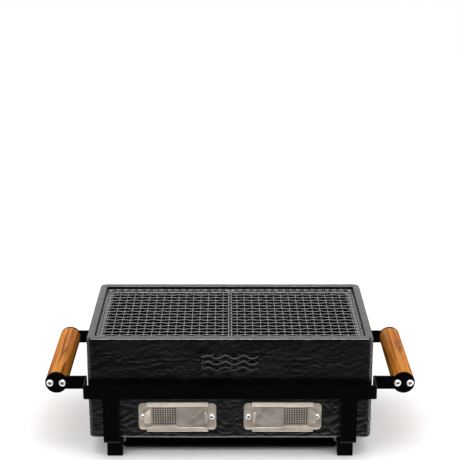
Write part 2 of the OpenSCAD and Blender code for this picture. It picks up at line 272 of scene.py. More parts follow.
class Graph:
    """A cleared node tree. Wherever a value is asked for, a socket may be given to link."""

    def __init__(self, tree):
        tree.nodes.clear()
        self.tree = tree

    def feed(self, target, value):
        if isinstance(value, bpy.types.NodeSocket):
            self.tree.links.new(value, target)
        elif target.type == "RGBA" and len(value) == 3:
            target.default_value = (*value, 1)
        else:
            target.default_value = value

    def node(self, kind, inputs=None, **settings):
        node = self.tree.nodes.new(kind)
        for name, value in settings.items():
            setattr(node, name, value)
        for key, value in (inputs or {}).items():
            self.feed(node.inputs[key], value)
        return node

    def object_coords(self):
        return self.node("ShaderNodeTexCoord").outputs["Object"]

    def stretch(self, vector, scale):
        return self.node("ShaderNodeMapping", {"Scale": scale, "Vector": vector}).outputs[0]

    def coords(self, scale=(1, 1, 1)):
        return self.stretch(self.object_coords(), scale)

    def noise(self, vector, scale, detail=3, rough=0.5, distortion=0.0, output="Fac"):
        return self.node("ShaderNodeTexNoise", {
            "Vector": vector, "Scale": scale, "Detail": detail,
            "Roughness": rough, "Distortion": distortion}).outputs[output]

    def ramp(self, value, stops):
        """Colour ramp through stops of (position, colour)."""
        node = self.node("ShaderNodeValToRGB", {0: value})
        elements = node.color_ramp.elements
        while len(elements) < len(stops):
            elements.new(0.5)
        for element, (position, colour) in zip(elements, stops):
            element.position = position
            element.color = (*colour, 1)
        return node.outputs[0]

    def remap(self, value, over, to=(0.0, 1.0)):
        """Carry the range over onto the range to, clamped at its ends."""
        return self.node("ShaderNodeMapRange", {
            "Value": value, "From Min": over[0], "From Max": over[1],
            "To Min": to[0], "To Max": to[1]}).outputs[0]

    def mix(self, factor, a, b):
        return self.node("ShaderNodeMix", {0: factor, 6: a, 7: b}, data_type="RGBA").outputs[2]

    def math(self, operation, a, b=0.0):
        return self.node("ShaderNodeMath", {0: a, 1: b}, operation=operation).outputs[0]

    def plus(self, a, b):
        return self.math("ADD", a, b)

    def times(self, a, b):
        return self.math("MULTIPLY", a, b)

    def surface(self, inputs, bumps=()):
        """Principled surface; bumps are (height, strength, distance), chained in order."""
        bsdf = self.node("ShaderNodeBsdfPrincipled", inputs)
        self.node("ShaderNodeOutputMaterial", {0: bsdf.outputs[0]})
        normal = None
        for height, strength, distance in bumps:
            bump = self.node("ShaderNodeBump", {
                "Height": height, "Strength": strength, "Distance": distance})
            if normal is not None:
                self.feed(bump.inputs["Normal"], normal)
            normal = bump.outputs[0]
        if normal is not None:
            self.feed(bsdf.inputs["Normal"], normal)
        return bsdf


def new_material(name):
    material = bpy.data.materials.new(name)
    material.use_nodes = True
    return material, Graph(material.node_tree)


def scaled(colour, factor):
    return tuple(c * factor for c in colour)


# The span that holds most of a noise texture's values
CORE = (0.3, 0.7)


# ---------------------------------------------------------------- materials

def coated_steel(name, base, rough, grain, scale, specular, graze=None):
    """Powder coat: base is its grey, grain and scale the depth and fineness of its texture.
    graze, if given, is the specular level at a flat angle."""
    material, g = new_material(name)
    where = g.coords()
    fine = g.noise(where, scale, 2, 0.6)
    medium = g.noise(where, 60, 4, 0.6)
    broad = g.noise(where, 9, 3, 0.5)
    colour = g.mix(medium, scaled((0.75, 0.75, 0.77), base), scaled((1.3, 1.3, 1.33), base))
    roughness = g.remap(broad, CORE, (rough - 0.06, rough + 0.08))
    roughness = g.plus(roughness, g.remap(fine, CORE, (-0.05, 0.05)))
    bsdf = g.surface(
        {"Base Color": colour, "Roughness": roughness, "Specular IOR Level": specular},
        bumps=[(fine, 0.5, grain), (medium, 0.2, 0.0002)])
    if graze is not None:
        facing = g.node("ShaderNodeLayerWeight").outputs["Facing"]
        level = g.remap(facing, over=(0.70, 0.90), to=(specular, graze))
        g.feed(bsdf.inputs["Specular IOR Level"], level)
    return material


def black_glaze(name):
    """Glossy glaze: lighter low on the walls as painted reflection, dusty inside, and lighter on
    the ledge, partly wear and partly painted sheen.
    """
    material, g = new_material(name)
    where = g.coords()
    ripples = g.noise(g.coords(scale=(0.75, 0.75, 1.5)), 330, 3, 0.55, 0.6)
    pits = g.noise(where, 900, 2, 0.5)
    clouds = g.noise(where, 18, 4, 0.6)
    colour = g.ramp(clouds, [(0.35, (0.0014, 0.0014, 0.0015)), (0.7, (0.0030, 0.0029, 0.0029))])

    x, y, z = g.node("ShaderNodeSeparateXYZ", {0: where}).outputs
    # painted reflection: the base colour is made lighter towards the bottom of the walls,
    # standing in for the light table reflected there
    low_wall_painted_reflection = g.remap(z, over=(BOTTOM + 0.015, BOTTOM + 0.095), to=(1.0, 0.0))
    colour = g.mix(g.times(low_wall_painted_reflection, 0.75), colour, (0.0062, 0.0061, 0.0060))

    from_centre_x = g.math("ABSOLUTE", x)
    from_centre_y = g.math("ABSOLUTE", g.math("SUBTRACT", y, CENTRE_Y))

    def within(distance, half, outer, inner):
        """1 further in than inner from the side at half, 0 further out than outer."""
        return g.remap(distance, over=(half - outer, half - inner), to=(1.0, 0.0))

    inside = g.times(within(from_centre_x, BOX_HIGH.x, 0.0200, 0.0185),
                     within(from_centre_y, HALF_Y, 0.0205, 0.0190))
    below_ledge = g.remap(z, over=(LEDGE - 0.0018, LEDGE - 0.0004), to=(1.0, 0.0))
    cavity = g.times(inside, below_ledge)
    dust = g.mix(clouds, (0.007, 0.0068, 0.0066), (0.013, 0.0125, 0.012))
    colour = g.mix(cavity, colour, dust)

    # the ledge is painted lighter: partly wear, partly a painted sheen standing in for light
    # reflected there
    level = g.times(g.remap(z, over=(LEDGE - 0.0014, LEDGE - 0.0006)),
                    g.remap(z, over=(LEDGE + 0.0006, LEDGE + 0.0014), to=(1.0, 0.0)))
    inside_rim = g.times(within(from_centre_x, BOX_HIGH.x, 0.0120, 0.0112),
                         within(from_centre_y, HALF_Y, 0.0120, 0.0112))
    ledge = g.times(level, inside_rim)
    colour = g.mix(g.times(ledge, 0.8), colour, (0.055, 0.053, 0.050))
    g.surface({"Base Color": colour,
               "Roughness": g.remap(clouds, over=(0.35, 0.7), to=(0.10, 0.22)),
               "Specular IOR Level": 0.5},
              bumps=[(ripples, 0.5, 0.0005), (pits, 0.25, 0.0002)])
    return material


def brushed_steel(name, tint, rough):
    """Stainless steel brushed along X."""
    material, g = new_material(name)
    brush = g.noise(g.coords(scale=(14, 900, 900)), 1.0, 3, 0.7)
    where = g.coords()
    blotches = g.noise(where, 55, 4, 0.6, 0.4)
    grain = g.noise(where, 420, 3, 0.6)
    dark = scaled(tint, 0.74)
    colour = g.mix(g.remap(blotches, CORE), dark, scaled(tint, 1.1))
    colour = g.mix(g.remap(brush, over=(0.2, 0.8), to=(0.0, 0.35)), colour, scaled(dark, 0.8))
    roughness = g.plus(g.remap(brush, over=(0.2, 0.8), to=(rough - 0.07, rough + 0.09)),
                       g.remap(blotches, CORE, (-0.04, 0.06)))
    g.surface({"Base Color": colour, "Metallic": 0.8, "Roughness": roughness,
               "Anisotropic": 0.4},
              bumps=[(brush, 0.12, 0.00006), (grain, 0.08, 0.00008)])
    return material


def wire_steel(name, dark, light):
    """Slightly warm grey wire, mottled between two levels."""
    material, g = new_material(name)
    mottle = g.noise(g.coords(), 240, 3, 0.6)
    warm = (1.0, 0.98, 0.95)
    g.surface({"Base Color": g.mix(mottle, scaled(warm, dark), scaled(warm, light)),
               "Metallic": 1.0,
               "Roughness": g.remap(mottle, CORE, (0.2, 0.36))},
              bumps=[(mottle, 0.1, 0.0001)])
    return material


def screw_steel(name):
    """Bright steel, with painted shade making it nearly black down in the sockets."""
    material, g = new_material(name)
    where = g.coords()
    grain = g.noise(where, 700, 3, 0.6)
    mottle = g.noise(where, 90, 2, 0.5)
    colour = g.mix(mottle, (0.86, 0.85, 0.83), (0.95, 0.94, 0.93))
    # painted shade: ambient occlusion darkens the base colour where the sockets are deep
    occlusion = g.node("ShaderNodeAmbientOcclusion", {"Distance": 0.0035},
                       samples=8, only_local=True)
    socket_painted_shade = g.remap(occlusion.outputs["AO"], over=(0.55, 0.90), to=(1.0, 0.0))
    g.surface({"Base Color": g.mix(socket_painted_shade, colour, (0.012, 0.011, 0.010)),
               "Metallic": 0.62,
               "Roughness": g.remap(grain, CORE, (0.26, 0.40))},
              bumps=[(grain, 0.08, 0.00008)])
    return material


def oiled_wood(name, shift):
    """Wood with its grain along Y; shift picks another part of the pattern."""
    material, g = new_material(name)
    shifted = g.node("ShaderNodeVectorMath", {0: g.object_coords(), 1: shift},
                     operation="ADD").outputs[0]
    along = g.stretch(shifted, (1.0, 0.11, 1.0))

    # warped growth rings
    warp = g.noise(along, 38, output="Color")
    warp = g.node("ShaderNodeVectorMath", {0: warp, "Scale": 0.018}, operation="SCALE")
    warped = g.node("ShaderNodeVectorMath", {0: along, 1: warp.outputs[0]}, operation="ADD")
    rings = g.node("ShaderNodeTexWave", {
        "Vector": warped.outputs[0], "Scale": 42, "Distortion": 2.6, "Detail": 3,
        "Detail Scale": 2.0}, wave_type="RINGS", rings_direction="Y", wave_profile="SAW")
    colour = g.ramp(rings.outputs["Fac"], [
        (0.0, (0.61, 0.220, 0.020)), (0.45, (0.51, 0.155, 0.012)),
        (0.8, (0.33, 0.083, 0.006)), (1.0, (0.15, 0.034, 0.003))])

    # broad light bands
    bands = g.noise(along, 55, 3, 0.55, 0.8)
    colour = g.mix(g.remap(bands, over=(0.42, 0.68), to=(0.0, 0.8)), colour,
                   (0.68, 0.265, 0.030))

    # narrow dark streaks, then fine grain and pores
    long = g.stretch(shifted, (1.0, 0.05, 1.0))
    streaks = g.ramp(g.noise(long, 150, 4, 0.6, 1.1), [
        (0.0, (0, 0, 0)), (0.585, (0, 0, 0)), (0.67, (1, 1, 1)), (1.0, (1, 1, 1))])
    colour = g.mix(streaks, colour, (0.085, 0.024, 0.006))
    fine = g.noise(long, 900, 3, 0.7)
    colour = g.mix(g.remap(fine, over=(0.35, 0.8), to=(0.0, 0.45)), colour,
                   (0.20, 0.062, 0.010))
    pores = g.noise(long, 2200, 2, 0.6)
    g.surface({"Base Color": colour, "Roughness": g.remap(fine, CORE, (0.33, 0.5)),
               "Specular IOR Level": 0.05},
              bumps=[(fine, 0.25, 0.00018), (pores, 0.25, 0.00012)])
    return material


FRAME_COAT = coated_steel("black_powder_coat", base=0.0008, rough=0.42, grain=0.00010,
                          scale=1500, specular=0.03, graze=0.55)
PLATE_COAT = coated_steel("black_plate_coat", base=0.0028, rough=0.50, grain=0.00012,
                          scale=1300, specular=0.10)
SHIELD_COAT = coated_steel("black_shield_coat", base=0.0018, rough=0.48, grain=0.00012,
                           scale=1300, specular=0.015)
GRATE_ENAMEL = coated_steel("black_grate_enamel", base=0.0026, rough=0.60, grain=0.00010,
                            scale=1700, specular=0.015)
GLAZE = black_glaze("black_glaze")
VENT_STEEL = brushed_steel("brushed_stainless", tint=(0.575, 0.51, 0.435), rough=0.42)
SCREEN_STEEL = brushed_steel("perforated_stainless", tint=(0.63, 0.56, 0.48), rough=0.40)
DOOR_STEEL = brushed_steel("door_stainless", tint=(0.49, 0.435, 0.385), rough=0.40)
# These four are one wire steel with painted light and shade: the cross wires and the rim are
# kept light, the long wires are painted darker and the wound ends darkest.
CROSS_WIRE = wire_steel("net_wire", dark=0.42, light=0.70)
LONG_WIRE_PAINTED_SHADE = wire_steel("net_wire_long", dark=0.20, light=0.40)
RIM_WIRE = wire_steel("net_rim_wire", dark=0.42, light=0.68)
END_WIRE_PAINTED_SHADE = wire_steel("net_wire_ends", dark=0.12, light=0.32)
SCREW_STEEL = screw_steel("bright_screw")
GRIP_WOOD = {
    "left": oiled_wood("oiled_wood_left", shift=(0.013, 0.05, 0.004)),
    "right": oiled_wood("oiled_wood_right", shift=(-0.021, 0.31, 0.012)),
}


# ---------------------------------------------------------------- CAD nodes kept in shape

def dress(node, material, width, segments):
    """Give a CAD node its material and rounded edges."""
    ob = NODES[node]
    paint(ob, material)
    weld = ob.modifiers.new("weld", "WELD")
    weld.merge_threshold = 0.000005
    bevel = ob.modifiers.new("round", "BEVEL")
    bevel.width = width
    bevel.segments = segments
    bevel.limit_method = "ANGLE"
    bevel.angle_limit = math.radians(40)
    shade_smooth(ob.data)
    normals = ob.modifiers.new("even", "WEIGHTED_NORMAL")
    normals.keep_sharp = True


# node, material, edge rounding, segments of the rounding
DRESSED = (
    ("rail_frame_front", FRAME_COAT, 0.0007, 3),
    ("rail_frame_rear", FRAME_COAT, 0.0007, 3),
    ("base_shelf", PLATE_COAT, 0.0006, 2),
    ("foot_front_left", FRAME_COAT, 0.0012, 3),
    ("foot_front_right", FRAME_COAT, 0.0012, 3),
    ("foot_rear_left", FRAME_COAT, 0.0012, 3),
    ("foot_rear_right", FRAME_COAT, 0.0012, 3),
    ("heat_shield", SHIELD_COAT, 0.0009, 3),
    ("grate_feet_left", GRATE_ENAMEL, 0.0005, 2),
    ("grate_feet_right", GRATE_ENAMEL, 0.0005, 2),
)
for entry in DRESSED:
    dress(*entry)


# ---------------------------------------------------------------- firebox
# The skin is a stack of closed loops of vertices: from under the middle, out and up the outer
# wall, over the rim and down the inside to the middle of the floor. The same index is the
# same place on every loop.

CORNER_RADIUS = 0.009
BOTTOM_EDGE = 0.0042         # edge radii
TOP_EDGE = 0.003
RIM_EDGE = 0.0016
LEDGE_EDGE = 0.0018
FILLET = 0.0015              # at the foot of the rebate and of the inner walls
CAVITY_TOP = (0.022, 0.023)      # x and y inset of the cavity at the ledge
CAVITY_FLOOR = (0.029, 0.025)    # and at the floor

FIXED_X, FIXED_Y = 0.170, 0.078  # middle of each side, where stations are the same on all loops
SIDE_STEPS = 9                   # steps from there to the corner arc
ARC_STEPS = 9


def front_stations():
    """Stations along the front, with the vent openings on them and fine at the emblem."""
    near, far = OPENING_X
    cuts = (-FIXED_X, -far, -near, 0, near, far, FIXED_X)
    pitches = (0.0018, 0.0018, 0.0009, 0.0009, 0.0018, 0.0018)
    stations = set()
    for start, end, pitch in zip(cuts, cuts[1:], pitches):
        stations.update(round(v, 6) for v in spaced(start, end, pitch))
    return sorted(stations)


FRONT_X = front_stations()
REAR_X = [round(v, 6) for v in spaced(-FIXED_X, FIXED_X, 0.0048)]
SIDE_Y = [round(v, 6) for v in spaced(-FIXED_Y, FIXED_Y, 0.0030)]


def side_stations(end, fixed):
    """Stations from -end to end, both left out, with the fixed ones in the middle."""
    limit = fixed[-1]
    steps = [(end - limit) * i / SIDE_STEPS for i in range(1, SIDE_STEPS)]
    return [-end + step for step in steps] + fixed + [limit + step for step in steps]


def loop_points(half_x, half_y, radius):
    """A rounded rectangle, counter-clockwise from the left end of the front."""
    end_x, end_y = half_x - radius, half_y - radius
    sides = (
        ([(x, -half_y) for x in side_stations(end_x, FRONT_X)], (end_x, -end_y)),
        ([(half_x, y) for y in side_stations(end_y, SIDE_Y)], (end_x, end_y)),
        ([(x, half_y) for x in reversed(side_stations(end_x, REAR_X))], (-end_x, end_y)),
        ([(-half_x, y) for y in reversed(side_stations(end_y, SIDE_Y))], (-end_x, -end_y)),
    )
    points = []
    for k, (side, centre) in enumerate(sides):
        points += side + arc(*centre, radius, (k - 1) * math.pi / 2, math.pi / 2, ARC_STEPS)
    return points


def wall_rows(start, end, pitch, emblem_pitch):
    """Heights of the rows of a wall, with the edges of the vent openings on them."""
    cuts = [start, *OPENING_Z, EMBLEM_Z - 0.0155, EMBLEM_Z + 0.0155, end]
    cuts = [c for c in cuts if start <= c <= end]
    rows = []
    for p, q in zip(cuts, cuts[1:]):
        if q - p < 1e-6:
            continue
        middle = (p + q) / 2
        if abs(middle - EMBLEM_Z) < 0.012:
            step = emblem_pitch
        elif abs(middle - VENT_Z) < 0.005:
            step = 0.0020
        else:
            step = pitch
        stations = spaced(p, q, step)
        rows += stations if not rows else stations[1:]
    return rows


def firebox_profile():
    """Rows of (half x, half y, corner radius, z, zone) in the order of the loops."""
    rows = []

    def add(zone, z, radius, inset_x, inset_y=None):
        if inset_y is None:
            inset_y = inset_x
        rows.append((HALF_X - inset_x, HALF_Y - inset_y, radius, z, zone))

    for inset in (0.030, 0.022, 0.014, 0.008):
        add("under", BOTTOM, 0.006, inset)
    for a in quarter(6):
        inset = BOTTOM_EDGE * (1 - math.sin(a))
        add("edge", BOTTOM + BOTTOM_EDGE * (1 - math.cos(a)), CORNER_RADIUS - inset, inset)
    for z in wall_rows(BOTTOM + BOTTOM_EDGE, TOP - TOP_EDGE, 0.0018, 0.0009)[1:-1]:
        add("outer", z, CORNER_RADIUS, 0)

    for a in quarter(5):
        inset = TOP_EDGE * (1 - math.cos(a))
        add("rim", TOP - TOP_EDGE + TOP_EDGE * math.sin(a), CORNER_RADIUS - inset, inset)
    for t in (0.35, 0.65):
        inset = TOP_EDGE + (RIM_WIDTH - TOP_EDGE - RIM_EDGE) * t
        add("rim", TOP, CORNER_RADIUS - TOP_EDGE, inset)
    for a in quarter(4):
        inset = RIM_WIDTH - RIM_EDGE + RIM_EDGE * math.sin(a)
        add("rim", TOP - RIM_EDGE + RIM_EDGE * math.cos(a), 0.005, inset)

    for t in (0.4, 0.75):
        z = TOP - RIM_EDGE - (TOP - LEDGE - RIM_EDGE - FILLET) * t
        add("rebate", z, 0.0045, RIM_WIDTH)
    for a in quarter(4, first=1):
        inset = RIM_WIDTH + FILLET * (1 - math.cos(a))
        add("rebate", LEDGE + FILLET * (1 - math.sin(a)), 0.004, inset)
    add("ledge", LEDGE, 0.005, 0.0155)
    add("ledge", LEDGE, 0.006, 0.0185)

    top_x, top_y = CAVITY_TOP
    floor_x, floor_y = CAVITY_FLOOR
    for a in quarter(4):
        back = LEDGE_EDGE * (1 - math.sin(a))
        z = LEDGE - LEDGE_EDGE * (1 - math.cos(a))
        add("ledge", z, 0.008, top_x - back, top_y - back)
    wall_top = LEDGE - LEDGE_EDGE
    for z in wall_rows(FLOOR + FILLET, wall_top, 0.0042, 0.004)[-2::-1]:
        t = (z - FLOOR) / (wall_top - FLOOR)
        add("inner", z, 0.010, floor_x + (top_x - floor_x) * t, floor_y + (top_y - floor_y) * t)
    for a in quarter(3, first=1):
        inset = FILLET * (1 - math.cos(a))
        z = FLOOR + FILLET * (1 - math.sin(a))
        add("floor", z, 0.010, floor_x + inset, floor_y + inset)
    for inset in (0.007, 0.016, 0.027, 0.041, 0.056, 0.071):
        add("floor", FLOOR, 0.009, floor_x + inset, floor_y + inset * 0.9)
    return rows


def tunnel(outer, inner, first, last):
    """Lining of one vent opening, between loops of the outer and the inner wall."""
    faces = []
    for k, flip in ((0, False), (-1, True)):         # bottom and top
        a, b = outer[k], inner[k]
        for i in range(first, last):
            quad = (a[i], a[i + 1], b[i + 1], b[i])
            faces.append(quad[::-1] if flip else quad)
    for i, flip in ((first, True), (last, False)):   # left and right
        for k in range(len(outer) - 1):
            quad = (outer[k][i], outer[k + 1][i], inner[k + 1][i], inner[k][i])
            faces.append(quad[::-1] if flip else quad)
    return faces


def firebox_faces(profile, count):
    """Faces over loops of count vertices, with both vent openings cut through."""
    heights = [row[3] for row in profile]
    zones = [row[4] for row in profile]
    loops = [list(range(j * count, (j + 1) * count)) for j in range(len(profile))]

    def column(x):
        nearest = min(range(len(FRONT_X)), key=lambda i: abs(FRONT_X[i] - x))
        return nearest + SIDE_STEPS - 1

    def row(zone, z):
        return min((j for j in range(len(profile)) if zones[j] == zone),
                   key=lambda j: abs(heights[j] - z))

    near, far = OPENING_X
    openings = [(column(-far), column(-near)), (column(near), column(far))]
    faces = []
    for j in range(len(loops) - 1):
        walls = zones[j] in ("outer", "inner") and zones[j + 1] in ("outer", "inner")
        level = OPENING_Z[0] < (heights[j] + heights[j + 1]) / 2 < OPENING_Z[1]
        for i, quad in enumerate(bridge(loops[j], loops[j + 1])):
            if not (walls and level and any(a <= i < b for a, b in openings)):
                faces.append(quad)
    faces.append(tuple(loops[0][::-1]))
    faces.append(tuple(loops[-1]))

    low_z, high_z = OPENING_Z
    outer = loops[row("outer", low_z):row("outer", high_z) + 1]
    inner = loops[row("inner", high_z):row("inner", low_z) + 1][::-1]
    for first, last in openings:
        faces += tunnel(outer, inner, first, last)
    return faces


def emblem_height(x, z):
    """Raised height of the three wavy lines at a point of the front face."""
    if abs(x) > 0.048 or abs(z - EMBLEM_Z) > 0.020:
        return 0.0
    chord = 2 * WAVE_RADIUS * math.sin(WAVE_ANGLE)
    sagitta_base = WAVE_RADIUS * math.cos(WAVE_ANGLE)
    here = math.floor(x / chord + WAVE_ARCS / 2)
    height = 0.0
    for line in (-1, 0, 1):
        from_line = z - EMBLEM_Z - line * WAVE_PITCH
        distance = 1.0
        for k in (here - 1, here, here + 1):     # this arc and its neighbours
            if not 0 <= k < WAVE_ARCS:
                continue
            dx = x - (k - (WAVE_ARCS - 1) / 2) * chord
            dz = from_line * (1 if k % 2 == 0 else -1) + sagitta_base
            if abs(math.atan2(dx, dz)) <= WAVE_ANGLE:
                distance = min(distance, abs(math.hypot(dx, dz) - WAVE_RADIUS))
            else:
                distance = min(distance, math.hypot(abs(dx) - chord / 2, from_line))
        fade = smoothstep(WAVE_WIDTH * 0.55, WAVE_WIDTH * 1.75, distance)
        height = max(height, 1 - fade)
    return height * WAVE_HEIGHT


# Depth of the glaze ripples in each zone
RIPPLE = {"under": 0.0001, "edge": 0.00035, "outer": 0.00034, "rim": 0.00028,
          "rebate": 0.0002, "ledge": 0.00025, "inner": 0.00035, "floor": 0.0003}


def glaze_relief(co, normal, zone):
    """How far the surface at co stands out along its normal."""
    x, y, z = co
    slow = noise.noise(Vector((x * 9 + 3, y * 9, z * 11)))
    warp = noise.noise(Vector((x * 35, y * 35 + 7, z * 40)))
    ripple = noise.noise(Vector((x * 95 + warp * 1.6, y * 95, z * 190 + warp * 2.2)))
    small = noise.noise(Vector((x * 230, y * 230 + 11, z * 300)))
    depth = RIPPLE[zone]
    if zone == "outer":      # stronger low down, most of all on the right
        strength = 1.2 + 0.9 * smoothstep(0.05, 0.16, x)
        depth *= 1.0 + strength * smoothstep(BOTTOM + 0.085, BOTTOM + 0.02, z)
    waviness = 0.00045 if zone in ("outer", "inner", "edge") else 0.00015
    relief = waviness * slow + depth * (0.85 * ripple + 0.4 * small)
    if zone == "outer" and normal.y < -0.7:
        relief += emblem_height(x, z)
        for _, s in SIDES:   # flat where the vent plates bolt on
            outside = max(abs(x - s * VENT_X) - 0.060, abs(z - VENT_Z) - 0.0255)
            if outside < 0.004:
                relief *= smoothstep(-0.001, 0.004, outside)
                if outside < 0.0:
                    relief = -0.0001
    return relief


def build_firebox():
    profile = firebox_profile()
    verts, zones = [], []
    for half_x, half_y, radius, z, zone in profile:
        if half_x > FIXED_X + 0.002 and half_y > FIXED_Y + 0.002:
            full_x, full_y = half_x, half_y
            full = points = loop_points(half_x, half_y, radius)
        else:                # in the middle of the floor: shrink the last full loop
            points = [(x * half_x / full_x, y * half_y / full_y) for x, y in full]
        verts += [(x, y + CENTRE_Y, z) for x, y in points]
        zones += [zone] * len(points)
    ob = mesh_from("firebox_glazed", verts, firebox_faces(profile, len(points)))
    bm = bmesh.new()
    bm.from_mesh(ob.data)
    bmesh.ops.recalc_face_normals(bm, faces=bm.faces)
    bm.normal_update()
    for vert, zone in zip(bm.verts, zones):
        vert.co = vert.co + vert.normal * glaze_relief(vert.co, vert.normal, zone)
    bm.to_mesh(ob.data)
    bm.free()
    paint(ob, GLAZE)
    attach(ob, "firebox", "firebox")


build_firebox()


# ---------------------------------------------------------------- grips

def grip(side):
    lo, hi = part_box("handle_" + side)
    x, z = (lo.x + hi.x) / 2, (lo.z + hi.z) / 2
    radius = (hi.x - lo.x) / 2
    length = hi.y - lo.y
    edge = 0.0018

    def end_radius(a):
        return radius - edge + edge * math.sin(a)

    profile = [(0.0, 0.0)]
    profile += [(end_radius(a), edge * (1 - math.cos(a))) for a in quarter(6)]
    profile += [(radius, t) for t in spaced(0.006, length - 0.006, 0.006)]
    profile += [(end_radius(a), length - edge * (1 - math.cos(a)))
                for a in reversed(quarter(6))]
    profile.append((0.0, length))
    where = Matrix.Translation((x, lo.y, z)) @ Matrix.Rotation(-math.pi / 2, 4, "X")
    verts, faces = lathe(profile, 96)
    ob = mesh_from("wood_grip_" + side, [where @ Vector(v) for v in verts], faces)
    clean(ob)
    # a turned grip is never quite true
    for vert in ob.data.vertices:
        p = vert.co
        dx, dz = p.x - x, p.z - z
        if math.hypot(dx, dz) > radius * 0.5:
            uneven = noise.noise(Vector((p.x * 30, p.y * 14, p.z * 30)))
            factor = 1 - 0.006 + 0.006 * uneven
            p.x, p.z = x + dx * factor, z + dz * factor
    paint(ob, GRIP_WOOD[side])
    sharpen(ob, 50)
    attach(ob, "stand", "handle_" + side)


for side, _ in SIDES:
    grip(side)


# ---------------------------------------------------------------- screws

GRIP_SCREW = dict(head_radius=0.0054, head_height=0.0030, socket=0.0027,
                  shank_radius=0.0025, shank_length=0.0245)
VENT_SCREW = dict(head_radius=0.0042, head_height=0.0026, socket=0.0019,
                  shank_radius=0.002, shank_length=0.0118)


def screw(head_radius, head_height, socket, shank_radius, shank_length):
    """Domed head with a hexagon socket, seat on z = 0, head up."""
    segments = 48
    profile = [
        (0.0, -shank_length), (shank_radius * 0.6, -shank_length),
        (shank_radius, -shank_length + shank_radius * 0.6), (shank_radius, -0.0001),
        (shank_radius, 0.0), (head_radius * 0.985, 0.0), (head_radius, head_height * 0.04)]
    dome = socket * 1.28
    for a in quarter(8, first=1):
        profile.append((dome + (head_radius - dome) * math.cos(a),
                        head_height * (0.18 + 0.82 * math.sin(a))))
    profile.append((socket * 1.2, head_height))
    verts, faces = lathe(profile, segments)
    previous = list(range(len(verts) - segments, len(verts)))
    # hexagon rings down the socket: corner radius, height
    for corner, height in ((socket * 1.06, head_height - 0.00004),
                           (socket, head_height - 0.0002),
                           (socket * 0.99, head_height * 0.42),
                           (socket * 0.5, head_height * 0.36)):
        ring = list(range(len(verts), len(verts) + segments))
        for k in range(segments):
            a = 2 * math.pi * k / segments
            from_flat = a % (math.pi / 3) - math.pi / 6
            radius = corner * math.cos(math.pi / 6) / math.cos(from_flat)
            verts.append((radius * math.cos(a), radius * math.sin(a), height))
        faces += bridge(previous, ring)
        previous = ring
    centre = len(verts)
    verts.append((0, 0, head_height * 0.34))
    faces += [(a, b, centre) for a, b in zip(previous, previous[1:] + previous[:1])]
    return verts, faces


def screws(name, places, size, body, node):
    verts, faces = [], []
    for i, where in enumerate(places):
        turned = where @ Matrix.Rotation(0.4 + i * 1.1, 4, "Z")
        first = len(verts)
        screw_verts, screw_faces = screw(**size)
        verts += [turned @ Vector(v) for v in screw_verts]
        faces += [tuple(k + first for k in face) for face in screw_faces]
    ob = mesh_from(name, verts, faces)
    clean(ob, merge=1e-7)
    paint(ob, SCREW_STEEL)
    sharpen(ob, 38)
    attach(ob, body, node)


def screw_place(x, y, z, facing):
    """Seat of a screw whose head faces the front (-1) or the back (1)."""
    return Matrix.Translation((x, y, z)) @ Matrix.Rotation(-facing * math.pi / 2, 4, "X")


for side, s in SIDES:
    lo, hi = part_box("handle_" + side)
    x, z = (lo.x + hi.x) / 2, (lo.z + hi.z) / 2
    places = [screw_place(x + e * 0.0095, end * (hi.y + 0.003), z, end)
              for end in (-1, 1) for e in (-1, 1)]
    screws("grip_screws_" + side, places, GRIP_SCREW, "stand", "handle_screws_" + side)
    places = [screw_place(s * VENT_X + e * VENT_SCREW_X, FRONT_Y - 0.0012, VENT_Z, -1)
              for e in (-1, 1)]
    screws("vent_plate_screws_" + side, places, VENT_SCREW, "firebox", "vent_screws_" + side)


# ---------------------------------------------------------------- vents
# Vent pieces are drawn in (u, v, w): u towards the middle of the grill, v outward from the
# front face and w up, from the centre of the vent.

SHEET = 0.0011               # door and tabs
CHANNEL_SHEET = 0.0010
CHANNEL_END = 0.0465         # half length of the guide channels
CHANNEL_TILT = math.radians(15)

# lower half of the plate outline: u, w, corner radius
PLATE_HALF = [
    (-0.059, -0.022, 0.006), (-CHANNEL_END, -0.022, 0), (-CHANNEL_END, -0.0229, 0),
    (CHANNEL_END, -0.0229, 0), (CHANNEL_END, -0.022, 0), (0.059, -0.022, 0.006)]
WINDOW = [(-0.040, -0.017, 0.0012), (0.040, -0.017, 0.0012),
          (0.040, 0.017, 0.0012), (-0.040, 0.017, 0.0012)]
# lower half of the door outline: u, w, corner radius
DOOR_HALF = [
    (0.0005, -0.0225, 0.0008), (0.0405, -0.0225, 0.0015), (0.0405, -0.0118, 0),
    (0.0395, -0.0113, 0), (0.0395, -0.0098, 0), (0.0405, -0.0098, 0)]


def vent_matrix(s):
    return Matrix(((-s, 0, 0, s * VENT_X), (0, -1, 0, FRONT_Y), (0, 0, 1, VENT_Z), (0, 0, 0, 1)))


def flat_matrix(v):
    """Lays a sheet drawn in (u, w) at outward distance v."""
    return Matrix(((1, 0, 0, 0), (0, 0, -1, v), (0, 1, 0, 0), (0, 0, 0, 1)))


def tab_matrix(u, v, lean, sign):
    """Stands a tab at (u, v), leaning from straight outward towards sign * u."""
    length = Vector((sign * math.sin(lean), math.cos(lean), 0))
    width = Vector((0, 0, 1))
    normal = length.cross(width)
    rows = [(length[k], width[k], normal[k], offset) for k, offset in enumerate((u, v, 0))]
    return Matrix((*rows, (0, 0, 0, 1)))


def tab(length, half_width, power):
    """Sheet for a D-shaped pull tab; a smaller power makes it squarer."""
    half = half_width * 0.98
    angles = [-math.pi / 2 + math.pi * i / 20 for i in range(21)]
    outline = [(-0.0008, -half)]
    outline += [(length * abs(math.cos(a)) ** power, half * math.sin(a)) for a in angles]
    outline.append((-0.0008, half))
    return sheet(outline, [], SHEET, 0.00025)


